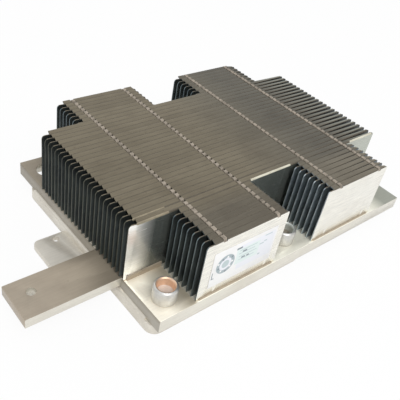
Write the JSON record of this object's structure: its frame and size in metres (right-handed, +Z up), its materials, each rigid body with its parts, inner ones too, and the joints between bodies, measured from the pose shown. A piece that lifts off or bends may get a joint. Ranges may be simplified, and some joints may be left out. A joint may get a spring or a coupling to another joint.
{
  "type": "passive server processor heatsink",
  "caption": "Low passive processor heatsink: stacked folded fins in a stepped outline on a metal base plate with captive screws, a side bar and a thin tab.",
  "frame": {"origin": "centre of the screw pattern, on the underside of the contact plate", "axes": "+X along the fins, away from the side bar; -Y towards the labelled fins; +Z up from the contact face to the fin tops"},
  "size_m": [0.1328, 0.076, 0.0269],
  "materials": {
    "fin_metal": "satin",
    "plate_metal": "satin plated",
    "contact_metal": "satin plated",
    "bar_metal": "satin plated",
    "screw_metal": "polished plated",
    "clip_metal": "satin",
    "label_film": "printed film"
  },
  "bodies": {
    "heatsink": {"base_plate": "plate_metal", "contact_plate": "contact_metal", "side_bar": "bar_metal", "label": "label_film", "front_left_fin_01": "fin_metal", "front_left_fin_02": "fin_metal", "front_left_fin_03": "fin_metal", "front_left_fin_04": "fin_metal", "front_left_fin_05": "fin_metal", "front_left_fin_06": "fin_metal", "front_left_fin_07": "fin_metal", "front_left_fin_08": "fin_metal", "front_right_fin_01": "fin_metal", "front_right_fin_02": "fin_metal", "front_right_fin_03": "fin_metal", "front_right_fin_04": "fin_metal", "front_right_fin_05": "fin_metal", "front_right_fin_06": "fin_metal", "front_right_fin_07": "fin_metal", "front_right_fin_08": "fin_metal", "middle_fin_01": "fin_metal", "middle_fin_02": "fin_metal", "middle_fin_03": "fin_metal", "middle_fin_04": "fin_metal", "middle_fin_05": "fin_metal", "middle_fin_06": "fin_metal", "middle_fin_07": "fin_metal", "middle_fin_08": "fin_metal", "middle_fin_09": "fin_metal", "middle_fin_10": "fin_metal", "middle_fin_11": "fin_metal", "middle_fin_12": "fin_metal", "middle_fin_13": "fin_metal", "middle_fin_14": "fin_metal", "middle_fin_15": "fin_metal", "middle_fin_16": "fin_metal", "middle_fin_17": "fin_metal", "middle_fin_18": "fin_metal", "middle_fin_19": "fin_metal", "middle_fin_20": "fin_metal", "middle_fin_21": "fin_metal", "middle_fin_22": "fin_metal", "middle_fin_23": "fin_metal", "middle_fin_24": "fin_metal", "rear_fin_pair_01": "fin_metal", "rear_fin_pair_02": "fin_metal", "rear_fin_pair_03": "fin_metal", "rear_fin_pair_04": "fin_metal", "rear_fin_pair_05": "fin_metal", "rear_fin_pair_06": "fin_metal", "rear_fin_pair_07": "fin_metal"},
    "front_left_clip": {"retaining_clip_front_left": "clip_metal"},
    "front_left_screw": {"captive_screw_front_left": "screw_metal"},
    "front_middle_clip": {"retaining_clip_front_middle": "clip_metal"},
    "front_middle_screw": {"captive_screw_front_middle": "screw_metal"},
    "rear_middle_clip": {"retaining_clip_rear_middle": "clip_metal"},
    "rear_middle_screw": {"captive_screw_rear_middle": "screw_metal"}
  },
  "joints": [
    {"name": "front_left_screw_lift", "type": "slide", "parent": "heatsink", "child": "front_left_clip", "axis": [0, 0, 1], "range_m": [0, 0.0017]},
    {"name": "front_left_screw_turn", "type": "hinge", "parent": "front_left_clip", "child": "front_left_screw", "pos_m": [-0.0226, -0.0315, 0.0075], "axis": [0, 0, 1], "continuous": true},
    {"name": "front_middle_screw_lift", "type": "slide", "parent": "heatsink", "child": "front_middle_clip", "axis": [0, 0, 1], "range_m": [0, 0.0017]},
    {"name": "front_middle_screw_turn", "type": "hinge", "parent": "front_middle_clip", "child": "front_middle_screw", "pos_m": [0.0226, -0.0315, 0.0075], "axis": [0, 0, 1], "continuous": true},
    {"name": "rear_middle_screw_lift", "type": "slide", "parent": "heatsink", "child": "rear_middle_clip", "axis": [0, 0, 1], "range_m": [0, 0.0017]},
    {"name": "rear_middle_screw_turn", "type": "hinge", "parent": "rear_middle_clip", "child": "rear_middle_screw", "pos_m": [0.0226, 0.0315, 0.0075], "axis": [0, 0, 1], "continuous": true}
  ]
}
